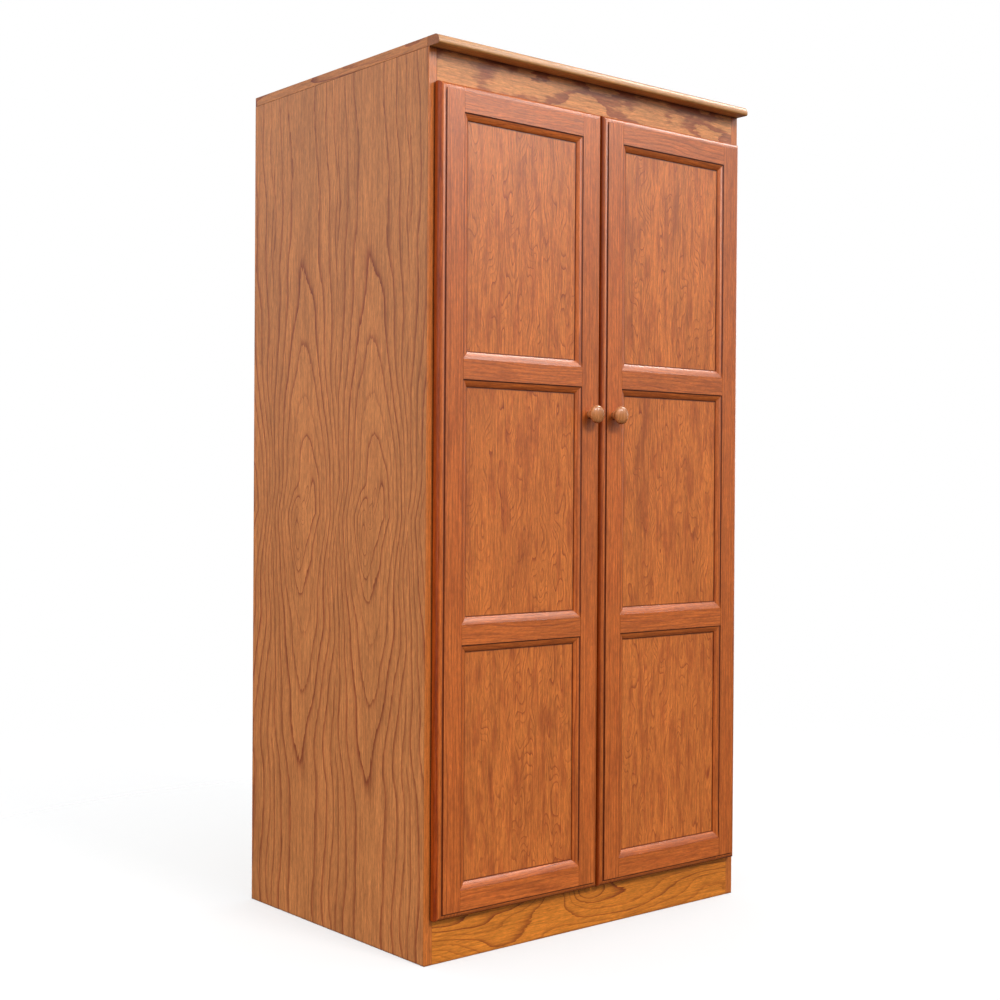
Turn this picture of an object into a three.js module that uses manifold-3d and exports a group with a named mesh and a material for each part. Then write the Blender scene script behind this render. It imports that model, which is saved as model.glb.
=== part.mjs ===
// Two-door oak armoire: a panel carcass with a hat shelf and a hanging rod, closed by a pair of
// frame-and-panel doors that swing on concealed cup hinges. Millimetres, +Z up, front towards -Y.
import * as THREE from "three";
import { mergeVertices } from "three/addons/utils/BufferGeometryUtils.js";
import Module from "manifold-3d";

// Overall size
const HEIGHT = 1829;
const WIDTH = 902;
const SIDE_DEPTH = 652;

// Board thicknesses
const PANEL = 20; // sides, top and front rails
const INNER = 19; // floor, shelf, cleats and rear rails
const BACK = 6; // back panel
const EDGING = 3; // solid strip on the front edge of each side

// Carcass
const BASE_HEIGHT = 101; // front base rail, and the top of the cabinet floor
const HEADER_HEIGHT = 89;
const REAR_RAIL_HEIGHT = 70;
const BACK_RABBET = 10;
const BACK_CLEARANCE = 30; // back panel's lower edge above the floor
const NOSING = { depth: 38, overhang: 32, topRadius: 13, lowRadius: 4 };

// Inside
const SHELF_TOP = 1500;
const SHELF_SETBACK = 60;
const CLEAT_HEIGHT = 38;
const ROD = { height: 1408, radius: 16 };
const SOCKET = { fit: 0.4, wall: 3, depth: 12, flange: 7 };

// Doors
const DOOR_TOP = 1742;
const DOOR_BOTTOM = 89;
const DOOR_THICKNESS = 22;
const DOOR_STANDOFF = 2.5; // between the door's back and the carcass front
const DOOR_REVEAL = 14; // side panel edge left showing beside each door
const MEETING_GAP = 3;
const STILE_FACE = 57; // outer edge to where the moulded inner edge starts
const RAIL_FACE = 55;
const MID_RAIL_FACE = 40.5;
const DOOR_PANEL = 6;

// Moulded edges of the door frame: a stepped, rounded outer edge and a sloping inner one with a
// groove for the panel behind it
const OUTER = { width: 13.5, step: 2.5, depth: 11.5 };
const STICKING = { width: 14, step: 1.4, recess: 9 };
const STICKING_PULL = { across: 0.58, deep: 0.42 }; // how far its curve bulges outwards
const GROOVE = { depth: 10, width: 6.4 };
const PANEL_BITE = 8; // how far a panel enters the groove

// Knobs. Distances along a knob are from the door's front.
const KNOB_HEIGHT = 1101;
const KNOB_INSET = 34; // from the door's meeting edge
const KNOB = { foot: 9.5, waist: 6.5, waistAt: 9.3, neck: 10.5, shoulder: 15.5, radius: 19.5 };
const KNOB_RIM = 22.3;
const KNOB_REACH = 31;
const SCREW = { radius: 2, head: 4.5, crown: 3.6, headHeight: 1.6, clearance: 0.4 };
const SCREW_HOLE_DEPTH = 18;

// Concealed hinges: a cup in the door, and on the side panel a hooked arm that carries the pin
const HINGE_END_DISTANCE = 110;
const PIVOT = { fromEdge: 6.2, fromBack: 8.2 };
const CUP = { radius: 17.5, wall: 1, depth: 12.8, fromEdge: 20.5 };
const FLANGE = { width: 24, length: 56, thickness: 1.4, lift: 0.1 };
const ARM = { thickness: 2, width: 9, hook: 14, bow: 2.2, bowStart: 4, reach: 17, run: 62 };
const PLATE = { thickness: 5, width: 18, start: 14, end: 60 };
const WING = { thickness: 2.5, width: 48, length: 18 };

// Bumpers
const BUMPER = { radius: 4, thickness: 2, inset: 20 };

// Fits and curve steps
const JOINT_GAP = 0.3;
const CUT_MARGIN = 1; // how far a cutting solid runs past what it cuts
const WELD = 1e-4;
const ARC_STEPS = 10;
const ROUND_SEGMENTS = 32;
const SMALL_SEGMENTS = 16;

// Worked out from the sizes above
const sideHeight = HEIGHT - PANEL;
const halfWidth = WIDTH / 2;
const innerHalf = halfWidth - PANEL;
const backFace = SIDE_DEPTH - BACK;
const rearBoardFront = backFace - INNER;
const doorBack = -DOOR_STANDOFF;
const doorFront = doorBack - DOOR_THICKNESS;
const doorWidth = halfWidth - DOOR_REVEAL - MEETING_GAP / 2;
const centreY = (SIDE_DEPTH + doorFront - KNOB_REACH) / 2;
const shelfUnderside = SHELF_TOP - INNER;
const openingHeight = (DOOR_TOP - DOOR_BOTTOM - 2 * RAIL_FACE - 2 * MID_RAIL_FACE) / 3;
const hingeHeights = {
  bottom: DOOR_BOTTOM + HINGE_END_DISTANCE,
  middle: (DOOR_BOTTOM + DOOR_TOP) / 2,
  top: DOOR_TOP - HINGE_END_DISTANCE,
};
const hands = { left: -1, right: 1 };

const oak = { roughness: 0.42, metalness: 0 };
const finishes = {
  side: new THREE.MeshStandardMaterial({ color: 0xa9683b, ...oak }),
  rail: new THREE.MeshStandardMaterial({ color: 0xc98745, ...oak }),
  door: new THREE.MeshStandardMaterial({ color: 0xc0703c, ...oak }),
  panel: new THREE.MeshStandardMaterial({ color: 0xb9683a, ...oak }),
  knob: new THREE.MeshStandardMaterial({ color: 0xcf9160, ...oak }),
  inside: new THREE.MeshStandardMaterial({ color: 0xc79a66, roughness: 0.6, metalness: 0 }),
  nickel: new THREE.MeshStandardMaterial({ color: 0xb9bcc0, roughness: 0.3, metalness: 1 }),
  zinc: new THREE.MeshStandardMaterial({ color: 0xa5a8ab, roughness: 0.4, metalness: 1 }),
  rubber: new THREE.MeshStandardMaterial({ color: 0xd8d6d0, roughness: 0.5, metalness: 0 }),
};

const wasm = await Module();
wasm.setup();

const armoire = new THREE.Group();
armoire.position.y = -centreY;

function add(name, geometry, finish) {
  geometry.computeVertexNormals();
  const mesh = new THREE.Mesh(geometry, finishes[finish]);
  mesh.name = name;
  armoire.add(mesh);
}

// A rectangular board between two opposite corners, given in any order.
function board(corner, opposite) {
  const size = corner.map((value, axis) => Math.abs(value - opposite[axis]));
  const centre = corner.map((value, axis) => (value + opposite[axis]) / 2);
  return new THREE.BoxGeometry(...size).translate(...centre);
}

// A board from one side panel to the other, between two Y-Z corners.
function crossBoard([y, z], [oppositeY, oppositeZ]) {
  return board([-innerHalf, y, z], [innerHalf, oppositeY, oppositeZ]);
}

function solidOf(geometry) {
  const bare = geometry.clone();
  bare.deleteAttribute("normal");
  bare.deleteAttribute("uv");
  const merged = mergeVertices(bare, WELD);
  return new wasm.Manifold(
    new wasm.Mesh({
      numProp: 3,
      vertProperties: merged.attributes.position.array,
      triVerts: new Uint32Array(merged.index.array),
    }),
  );
}

function geometryOf(solid) {
  const mesh = solid.getMesh();
  const geometry = new THREE.BufferGeometry();
  geometry.setAttribute("position", new THREE.BufferAttribute(mesh.vertProperties, 3));
  geometry.setIndex(new THREE.BufferAttribute(mesh.triVerts, 1));
  return geometry.toNonIndexed();
}

function shapeOf(points) {
  return new THREE.Shape(points.map(([x, y]) => new THREE.Vector2(x, y)));
}

// Extrudes an X-Y outline upwards from z = low to z = high.
function extrudeUp(shape, low, high) {
  const depth = high - low;
  return new THREE.ExtrudeGeometry(shape, { depth, bevelEnabled: false }).translate(0, 0, low);
}

// Extrudes a Y-Z outline sideways from x = low to x = high.
function extrudeAcross(shape, low, high) {
  const axes = new THREE.Matrix4().makeBasis(
    new THREE.Vector3(0, 1, 0),
    new THREE.Vector3(0, 0, 1),
    new THREE.Vector3(1, 0, 0),
  );
  const geometry = new THREE.ExtrudeGeometry(shape, { depth: high - low, bevelEnabled: false });
  return geometry.applyMatrix4(axes).translate(low, 0, 0);
}

// A lathed piece whose axis lies along Y, from [radius, y] pairs in rising y.
function latheAlongY(profile, x, z, segments) {
  const points = profile.map(([radius, y]) => new THREE.Vector2(radius, y));
  return new THREE.LatheGeometry(points, segments).translate(x, 0, z);
}

// Points on an ellipse's arc, angles in radians.
function arc(centre, radii, from, to, steps) {
  const points = [];
  for (let i = 0; i <= steps; i += 1) {
    const angle = from + ((to - from) * i) / steps;
    points.push([centre[0] + radii[0] * Math.cos(angle), centre[1] + radii[1] * Math.sin(angle)]);
  }
  return points;
}

// Points on a smooth curve that is pulled towards a control point.
function bend(from, control, to, steps) {
  const [start, pull, end] = [from, control, to].map(([x, y]) => new THREE.Vector2(x, y));
  const curve = new THREE.QuadraticBezierCurve(start, pull, end);
  return curve.getPoints(steps).map((point) => [point.x, point.y]);
}

// ---- Carcass ----

function sidePanel(hand) {
  const outer = hand * halfWidth;
  const inner = hand * innerHalf;
  const rabbet = hand * (halfWidth - BACK_RABBET);
  const section = shapeOf([
    [outer, EDGING],
    [inner, EDGING],
    [inner, backFace],
    [rabbet, backFace],
    [rabbet, SIDE_DEPTH],
    [outer, SIDE_DEPTH],
  ]);
  return extrudeUp(section, 0, sideHeight);
}

function topNosing() {
  const front = -NOSING.overhang;
  const back = front + NOSING.depth;
  const [top, low] = [NOSING.topRadius, NOSING.lowRadius];
  const quarter = Math.PI / 2;
  const section = shapeOf([
    [back, sideHeight],
    [back, HEIGHT],
    ...arc([front + top, HEIGHT - top], [top, top], quarter, 2 * quarter, ARC_STEPS),
    ...arc([front + low, sideHeight + low], [low, low], 2 * quarter, 3 * quarter, ARC_STEPS / 2),
  ]);
  return extrudeAcross(section, -halfWidth, halfWidth);
}

function carcass() {
  for (const [side, hand] of Object.entries(hands)) {
    const edging = board([hand * innerHalf, 0, 0], [hand * halfWidth, EDGING, sideHeight]);
    add(`side_panel_${side}`, sidePanel(hand), "side");
    add(`side_edging_${side}`, edging, "rail");
  }
  const topFront = NOSING.depth - NOSING.overhang;
  const rearRailLow = sideHeight - REAR_RAIL_HEIGHT;
  const backHalf = halfWidth - BACK_RABBET;
  const top = board([-halfWidth, topFront, sideHeight], [halfWidth, SIDE_DEPTH, HEIGHT]);
  const back = board([-backHalf, backFace, BACK_CLEARANCE], [backHalf, SIDE_DEPTH, sideHeight]);
  add("top_panel", top, "side");
  add("top_nosing", topNosing(), "rail");
  add("header_rail", crossBoard([0, sideHeight - HEADER_HEIGHT], [PANEL, sideHeight]), "rail");
  add("base_rail", crossBoard([0, 0], [PANEL, BASE_HEIGHT]), "rail");
  add("floor_panel", crossBoard([PANEL, BASE_HEIGHT - INNER], [backFace, BASE_HEIGHT]), "inside");
  add("rear_base_rail", crossBoard([rearBoardFront, 0], [backFace, REAR_RAIL_HEIGHT]), "inside");
  add("rear_top_rail", crossBoard([rearBoardFront, rearRailLow], [backFace, sideHeight]), "inside");
  add("back_panel", back, "inside");
}

// ---- Shelf and hanging rod ----

function shelf() {
  const cleatLow = shelfUnderside - CLEAT_HEIGHT;
  const cleatFront = SHELF_SETBACK + INNER;
  add("hat_shelf", crossBoard([SHELF_SETBACK, shelfUnderside], [backFace, SHELF_TOP]), "inside");
  for (const [side, hand] of Object.entries(hands)) {
    const cleat = board(
      [hand * innerHalf, cleatFront, cleatLow],
      [hand * (innerHalf - INNER), rearBoardFront, shelfUnderside],
    );
    add(`shelf_cleat_${side}`, cleat, "inside");
  }
  add("shelf_cleat_rear", crossBoard([rearBoardFront, cleatLow], [backFace, shelfUnderside]), "inside");
}

// A round flange with a short collar that is open at the top, so that the rod drops in.
function rodSocket(hand, rodY) {
  const bore = ROD.radius + SOCKET.fit;
  const collar = bore + SOCKET.wall;
  const flange = collar + SOCKET.flange;
  const profile = [
    [0, 0],
    [flange, 0],
    [flange, SOCKET.wall],
    [collar, SOCKET.wall],
    [collar, SOCKET.depth],
    [bore, SOCKET.depth],
    [bore, SOCKET.wall],
    [0, SOCKET.wall],
  ];
  const quarterTurn = (hand * Math.PI) / 2;
  const cup = latheAlongY(profile, 0, 0, ROUND_SEGMENTS).rotateZ(quarterTurn);
  const inner = hand * -SOCKET.wall;
  const slot = board([inner, -bore, 0], [inner - hand * 2 * SOCKET.depth, bore, flange]);
  const cut = solidOf(cup).subtract(solidOf(slot));
  return geometryOf(cut).translate(hand * innerHalf, rodY, ROD.height);
}

function hangingRod() {
  const rodY = backFace / 2;
  const length = 2 * (innerHalf - SOCKET.wall - JOINT_GAP);
  const rod = new THREE.CylinderGeometry(ROD.radius, ROD.radius, length, ROUND_SEGMENTS);
  add("hanging_rod", rod.rotateZ(Math.PI / 2).translate(0, rodY, ROD.height), "inside");
  for (const [side, hand] of Object.entries(hands)) {
    add(`rod_socket_${side}`, rodSocket(hand, rodY), "zinc");
  }
}

// ---- Door frame sections ----
// An edge is a list of [distance past the flat face, depth behind the door's front], front to back.

function roundedOuterEdge() {
  const centre = [0, OUTER.step + OUTER.depth];
  return [
    [0, 0],
    ...arc(centre, [OUTER.width, OUTER.depth], -Math.PI / 2, 0, ARC_STEPS),
    [OUTER.width, DOOR_THICKNESS],
  ];
}

function mouldedInnerEdge() {
  const { width, step, recess } = STICKING;
  const slopeEnd = recess - step;
  const pull = [STICKING_PULL.across * width, STICKING_PULL.deep * slopeEnd];
  const grooveEnd = width - GROOVE.depth;
  const grooveBack = recess + GROOVE.width;
  return [
    [0, 0],
    ...bend([0, step], pull, [width, slopeEnd], 6),
    [width, recess],
    [grooveEnd, recess],
    [grooveEnd, grooveBack],
    [width, grooveBack],
    [width, DOOR_THICKNESS],
  ];
}

// The closed section of a frame member whose flat face runs from low to high.
function memberSection(low, high, lowEdge, highEdge) {
  const up = highEdge.map(([past, depth]) => [high + past, depth]);
  const down = lowEdge.map(([past, depth]) => [low - past, depth]).reverse();
  return [...up, ...down];
}

// Positions across a door are measured from its hinged edge; toX turns them into x.
function doorFrame(side, hand) {
  const hingedX = hand * (halfWidth - DOOR_REVEAL);
  const toX = (fromHinge) => hingedX - hand * fromHinge;
  const toY = (depth) => doorFront + depth;
  return { side, hand, toX, toY };
}

// A stile, and the longer uncut length of it that the rails are coped against.
function stile(frame, atHinge) {
  const outer = roundedOuterEdge();
  const inner = mouldedInnerEdge();
  const section = atHinge
    ? memberSection(OUTER.width, STILE_FACE, outer, inner)
    : memberSection(doorWidth - STILE_FACE, doorWidth - OUTER.width, inner, outer);
  const shape = shapeOf(section.map(([across, depth]) => [frame.toX(across), frame.toY(depth)]));
  const length = solidOf(extrudeUp(shape, DOOR_BOTTOM - CUT_MARGIN, DOOR_TOP + CUT_MARGIN));
  const ends = memberSection(DOOR_BOTTOM + OUTER.width, DOOR_TOP - OUTER.width, outer, outer);
  const endShape = shapeOf(ends.map(([up, depth]) => [frame.toY(depth), up]));
  const solid = length.intersect(solidOf(extrudeAcross(endShape, -halfWidth, halfWidth)));
  return { solid, length };
}

// A rail runs between the stiles' flat faces and is coped over their moulded edges.
function rail(frame, low, high, lowEdge, highEdge, stiles) {
  const section = memberSection(low, high, lowEdge, highEdge);
  const shape = shapeOf(section.map(([up, depth]) => [frame.toY(depth), up]));
  const ends = [frame.toX(STILE_FACE + JOINT_GAP), frame.toX(doorWidth - STILE_FACE - JOINT_GAP)];
  const [from, to] = ends.sort((a, b) => a - b);
  const inwards = -frame.hand * JOINT_GAP;
  return solidOf(extrudeAcross(shape, from, to))
    .subtract(stiles.hinge.length.translate([inwards, 0, 0]))
    .subtract(stiles.meeting.length.translate([-inwards, 0, 0]));
}

// A flat panel whose edges sit in the grooves around an opening.
function doorPanel(frame, low, high) {
  const margin = STICKING.width - PANEL_BITE;
  const inset = STILE_FACE + margin;
  const front = frame.toY(STICKING.recess + (GROOVE.width - DOOR_PANEL) / 2);
  return board(
    [frame.toX(inset), front, low + margin],
    [frame.toX(doorWidth - inset), front + DOOR_PANEL, high - margin],
  );
}

// ---- Door hardware ----

// A turned knob with a narrow waist, a domed face and a blind screw hole, as [radius, y] pairs.
function knobProfile() {
  const { foot, waist, waistAt, neck, shoulder, radius } = KNOB;
  const bore = SCREW.radius + SCREW.clearance;
  const outline = [
    [0, SCREW_HOLE_DEPTH],
    [bore, SCREW_HOLE_DEPTH],
    [bore, 0],
    ...bend([foot, 0], [waist, waistAt], [neck, shoulder], 4),
    ...bend([neck, shoulder], [radius, shoulder + 1], [radius, KNOB_RIM], 5).slice(1),
    ...bend([radius, KNOB_RIM], [radius - 1, KNOB_REACH], [0, KNOB_REACH], 7).slice(1),
  ];
  return outline.map(([across, reach]) => [across, doorFront - reach]).reverse();
}

function knobScrew(x) {
  const tip = doorFront - SCREW_HOLE_DEPTH + CUT_MARGIN;
  const headLow = doorBack + JOINT_GAP;
  const headTop = doorBack + SCREW.headHeight;
  const profile = [
    [0, tip],
    [SCREW.radius, tip],
    [SCREW.radius, headLow],
    [SCREW.head, headLow],
    [SCREW.crown, headTop],
    [0, headTop],
  ];
  return latheAlongY(profile, x, KNOB_HEIGHT, SMALL_SEGMENTS);
}

// A round cutter along Y.
function borehole(radius, x, z, fromY, toY) {
  const hole = new THREE.CylinderGeometry(radius, radius, toY - fromY, ROUND_SEGMENTS);
  return solidOf(hole.translate(x, (fromY + toY) / 2, z));
}

// A drawn cup with a flange that screws to the door's back.
function hingeCup(frame, z) {
  const x = frame.toX(CUP.fromEdge);
  const bore = CUP.radius - CUP.wall;
  const floor = doorBack - CUP.depth;
  const profile = [
    [0, floor],
    [CUP.radius, floor],
    [CUP.radius, doorBack],
    [bore, doorBack],
    [bore, floor + CUP.wall],
    [0, floor + CUP.wall],
  ];
  const cup = solidOf(latheAlongY(profile, x, z, ROUND_SEGMENTS));
  const [halfWide, halfLong] = [FLANGE.width / 2, FLANGE.length / 2];
  const flangeBox = (from, to) =>
    solidOf(board([x - halfWide, from, z - halfLong], [x + halfWide, to, z + halfLong]));
  const flange = flangeBox(doorBack + FLANGE.lift, doorBack + FLANGE.thickness);
  const belowFlange = flangeBox(doorBack - CUP.wall, doorBack + JOINT_GAP);
  const collar = borehole(CUP.radius, x, z, doorBack - CUP.wall, doorBack + JOINT_GAP);
  const mouth = borehole(bore, x, z, doorBack - CUP.wall, doorBack + 2 * FLANGE.thickness);
  return geometryOf(cup.add(flange).add(collar.intersect(belowFlange)).subtract(mouth));
}

// The arm's outline in plan from its pin at [0, 0]: across towards the door's middle, along towards
// the back. It bows round inside the cup, leaves it, and runs along the side panel.
function armOutline() {
  const half = ARM.thickness / 2;
  const run = PLATE.thickness + half;
  const runStart = ARM.reach + PLATE.thickness;
  return [
    ...arc([0, 0], [half, half], Math.PI / 2, (3 * Math.PI) / 2, 6),
    [ARM.bowStart, -ARM.bow - half],
    [ARM.hook + half, -ARM.bow - half],
    [ARM.hook + half, ARM.reach + half],
    [run + half, runStart],
    [run + half, ARM.run],
    [run - half, ARM.run],
    [run - half, runStart - half],
    [ARM.hook - half, ARM.reach - half],
    [ARM.hook - half, half - ARM.bow],
    [ARM.bowStart + half, half - ARM.bow],
  ];
}

function hingeArm(frame, z) {
  const pinX = frame.toX(PIVOT.fromEdge);
  const pinY = doorBack - PIVOT.fromBack;
  const inwards = -frame.hand;
  const wall = frame.hand * innerHalf;
  const wingStart = (PLATE.start + PLATE.end - WING.length) / 2;
  const shape = shapeOf(armOutline().map(([across, along]) => [pinX + inwards * across, pinY + along]));
  const arm = solidOf(extrudeUp(shape, z - ARM.width / 2, z + ARM.width / 2));
  const spine = board(
    [wall, PLATE.start, z - PLATE.width / 2],
    [wall + inwards * (PLATE.thickness + ARM.thickness / 2), PLATE.end, z + PLATE.width / 2],
  );
  const wings = board(
    [wall, wingStart, z - WING.width / 2],
    [wall + inwards * WING.thickness, wingStart + WING.length, z + WING.width / 2],
  );
  return geometryOf(arm.add(solidOf(spine)).add(solidOf(wings)));
}

function bumper(x, z) {
  const profile = [
    [0, doorBack],
    [BUMPER.radius, doorBack],
    [BUMPER.radius, doorBack + BUMPER.thickness / 2],
    [BUMPER.radius / 2, doorBack + BUMPER.thickness],
    [0, doorBack + BUMPER.thickness],
  ];
  return latheAlongY(profile, x, z, SMALL_SEGMENTS);
}

// ---- Doors ----

// Four rails from the top down, and a panel under each of the first three.
function railsAndPanels(frame, stiles) {
  const outer = roundedOuterEdge();
  const inner = mouldedInnerEdge();
  const step = openingHeight + MID_RAIL_FACE;
  const upperLow = DOOR_TOP - RAIL_FACE - step;
  const lowerLow = upperLow - step;
  const rails = {
    top_rail: [DOOR_TOP - RAIL_FACE, DOOR_TOP - OUTER.width, inner, outer],
    upper_rail: [upperLow, upperLow + MID_RAIL_FACE, inner, inner],
    lower_rail: [lowerLow, lowerLow + MID_RAIL_FACE, inner, inner],
    bottom_rail: [DOOR_BOTTOM + OUTER.width, DOOR_BOTTOM + RAIL_FACE, outer, inner],
  };
  for (const [name, [low, high, lowEdge, highEdge]] of Object.entries(rails)) {
    const solid = rail(frame, low, high, lowEdge, highEdge, stiles);
    add(`${frame.side}_door_${name}`, geometryOf(solid), "door");
  }
  const panels = { upper: rails.top_rail, middle: rails.upper_rail, lower: rails.lower_rail };
  for (const [name, [high]] of Object.entries(panels)) {
    add(`${frame.side}_door_${name}_panel`, doorPanel(frame, high - openingHeight, high), "panel");
  }
}

// The hinge stile with its three bored cups, and the arms that reach into them.
function hingeSide(frame, stileSolid) {
  const x = frame.toX(CUP.fromEdge);
  const bottom = doorBack - CUP.depth - JOINT_GAP;
  let bored = stileSolid;
  for (const [place, z] of Object.entries(hingeHeights)) {
    bored = bored.subtract(borehole(CUP.radius + JOINT_GAP, x, z, bottom, doorBack + CUT_MARGIN));
    add(`${frame.side}_hinge_cup_${place}`, hingeCup(frame, z), "nickel");
    add(`${frame.side}_hinge_arm_${place}`, hingeArm(frame, z), "nickel");
  }
  add(`${frame.side}_door_hinge_stile`, geometryOf(bored), "door");
}

// The meeting stile with its knob and screw.
function knobSide(frame, stileSolid) {
  const x = frame.toX(doorWidth - KNOB_INSET);
  const holeRadius = SCREW.radius + SCREW.clearance;
  const hole = borehole(holeRadius, x, KNOB_HEIGHT, doorFront - CUT_MARGIN, doorBack + CUT_MARGIN);
  add(`${frame.side}_door_meeting_stile`, geometryOf(stileSolid.subtract(hole)), "door");
  add(`${frame.side}_knob`, latheAlongY(knobProfile(), x, KNOB_HEIGHT, ROUND_SEGMENTS), "knob");
  add(`${frame.side}_knob_screw`, knobScrew(x), "zinc");
}

// Soft stops where the door's back meets the header and the base rail.
function bumpers(frame) {
  const x = frame.toX(doorWidth - BUMPER.inset);
  const heights = {
    top: (DOOR_TOP + sideHeight - HEADER_HEIGHT) / 2,
    bottom: (DOOR_BOTTOM + BASE_HEIGHT) / 2,
  };
  for (const [place, z] of Object.entries(heights)) {
    add(`${frame.side}_bumper_${place}`, bumper(x, z), "rubber");
  }
}

function door(side, hand) {
  const frame = doorFrame(side, hand);
  const stiles = { hinge: stile(frame, true), meeting: stile(frame, false) };
  railsAndPanels(frame, stiles);
  hingeSide(frame, stiles.hinge.solid);
  knobSide(frame, stiles.meeting.solid);
  bumpers(frame);
}

carcass();
shelf();
hangingRod();
for (const [side, hand] of Object.entries(hands)) {
  door(side, hand);
}

export default armoire;
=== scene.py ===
"""Looks of the two-door oak armoire: lacquered oak on every board, turned knobs, and the hardware
inside, in a pale studio. Metres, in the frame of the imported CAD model."""

import math

import bmesh
import bpy
from mathutils import Matrix, Vector


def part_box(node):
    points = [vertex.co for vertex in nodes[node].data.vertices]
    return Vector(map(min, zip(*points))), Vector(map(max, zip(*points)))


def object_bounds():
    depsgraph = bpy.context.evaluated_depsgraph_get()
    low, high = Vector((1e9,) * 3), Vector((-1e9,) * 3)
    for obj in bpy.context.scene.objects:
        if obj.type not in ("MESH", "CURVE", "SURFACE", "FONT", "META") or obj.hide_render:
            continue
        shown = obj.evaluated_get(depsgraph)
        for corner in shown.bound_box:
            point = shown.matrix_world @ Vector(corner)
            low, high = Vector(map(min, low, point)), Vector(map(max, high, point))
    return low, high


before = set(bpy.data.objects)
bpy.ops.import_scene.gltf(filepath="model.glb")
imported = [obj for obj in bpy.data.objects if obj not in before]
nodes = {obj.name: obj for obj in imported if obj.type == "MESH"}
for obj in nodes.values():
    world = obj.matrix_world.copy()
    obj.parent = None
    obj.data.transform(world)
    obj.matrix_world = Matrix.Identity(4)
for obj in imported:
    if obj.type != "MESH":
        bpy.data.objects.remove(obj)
cad_low, cad_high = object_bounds()

MM = 0.001
SIDES = ("left", "right")
PLACES = ("top", "middle", "bottom")

# ---- Shader building ----


class Shader:
    """Short calls that add nodes to one node tree."""

    def __init__(self, tree):
        self.tree = tree
        tree.nodes.clear()

    def add(self, kind, inputs=None, **settings):
        """A new node, with sockets given as values or links, and settings as attributes."""
        node = self.tree.nodes.new(kind)
        for name, value in settings.items():
            setattr(node, name, value)
        for key, value in (inputs or {}).items():
            self.feed(node.inputs[key], value)
        return node

    def feed(self, socket, value):
        if isinstance(value, bpy.types.NodeSocket):
            self.tree.links.new(value, socket)
        else:
            socket.default_value = value

    def math(self, operation, *values):
        return self.add("ShaderNodeMath", dict(enumerate(values)), operation=operation).outputs[0]

    def vector(self, operation, *values):
        return self.add("ShaderNodeVectorMath", dict(enumerate(values)), operation=operation).outputs[0]

    def mix(self, factor, a, b, blend="MIX"):
        # Of a Mix node's many sockets, 0 is the factor, and 6 and 7 are the colours.
        inputs = {0: factor, 6: a, 7: b}
        return self.add("ShaderNodeMix", inputs, data_type="RGBA", blend_type=blend).outputs[2]

    def split(self, vector):
        return self.add("ShaderNodeSeparateXYZ", {0: vector}).outputs

    def join(self, x, y, z):
        return self.add("ShaderNodeCombineXYZ", {0: x, 1: y, 2: z}).outputs[0]

    def remap(self, value, low, high, to_low=0.0, to_high=1.0, smooth=False):
        """Takes low..high to to_low..to_high, and stays at those ends outside it."""
        inputs = {0: value, 1: low, 2: high, 3: to_low, 4: to_high}
        kind = "SMOOTHSTEP" if smooth else "LINEAR"
        return self.add("ShaderNodeMapRange", inputs, interpolation_type=kind).outputs[0]

    def noise(self, vector, scale, detail=2.0, roughness=0.5):
        """Noise from 0 to 1 whose cells are 1/scale metres along each axis."""
        scaled = self.vector("MULTIPLY", vector, scale)
        inputs = {"Vector": scaled, "Scale": 1.0, "Detail": detail, "Roughness": roughness}
        return self.add("ShaderNodeTexNoise", inputs).outputs["Fac"]

    def ramp(self, value, stops):
        """A level from 0 to 1 read off stops of (position, level)."""
        node = self.add("ShaderNodeValToRGB", {0: value})
        elements = node.color_ramp.elements
        while len(elements) < len(stops):
            elements.new(1.0)
        for element, (position, level) in zip(elements, stops):
            element.position = position
            element.color = (level, level, level, 1.0)
        return node.outputs["Color"]


def new_material(name):
    material = bpy.data.materials.new(name)
    material.use_nodes = True
    return material, Shader(material.node_tree)


def srgb(red, green, blue):
    """A colour given as 0-255 display values, as the linear RGBA that shaders use."""
    shares = [value / 255 for value in (red, green, blue)]
    linear = [((v + 0.055) / 1.055) ** 2.4 if v > 0.04045 else v / 12.92 for v in shares]
    return (*linear, 1.0)


# ---- Oak figure ----
# Grain space: X across the face, Y into the board, Z along the grain, in metres. Noise scales are
# in cells per metre along those axes.

GRAIN_AXES = {"up": (0, 1, 2), "across": (2, 1, 0), "up_side": (1, 0, 2), "deep": (0, 2, 1)}
# How far a board's seed moves its rings and its colour through the noise.
RING_SEED_STEP = (1.7, 0.9, 2.3)
COLOUR_SEED_STEP = (0.61, 0.37, 1.13)
RING_SLANT = 0.5
SWELL_GAIN = 2.6
FULL_LINE = 1.0


def grain_space(g, direction):
    """Object coordinates turned so that Z runs along the grain."""
    parts = g.split(g.add("ShaderNodeTexCoord").outputs["Object"])
    return g.join(*(parts[axis] for axis in GRAIN_AXES[direction]))


def moved_by_seed(g, vector, seed, step):
    return g.vector("ADD", vector, tuple(length * seed for length in step))


def flowing_rings(g, vector, seed, spacing, sway, cells, ruffle=0.9):
    """Growth rings that run along the board, pushed aside by slow swells of sway rings whose
    cells are (across, along) metres, and by ripples of ruffle rings in cells a third as big."""
    across, along = cells
    moved = moved_by_seed(g, vector, seed, RING_SEED_STEP)
    swell = g.noise(moved, (1 / across, 1 / across, 1 / along), 1.0, 0.4)
    ripple = g.noise(moved, (3.0 / across, 3.0 / across, 3.0 / along), 2.0, 0.5)
    x, y, _ = g.split(vector)
    slanted = g.math("MULTIPLY_ADD", y, RING_SLANT, x)
    rings = g.math("MULTIPLY_ADD", swell, SWELL_GAIN * sway, g.math("DIVIDE", slanted, spacing))
    return g.math("MULTIPLY_ADD", ripple, ruffle, rings), FULL_LINE


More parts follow.
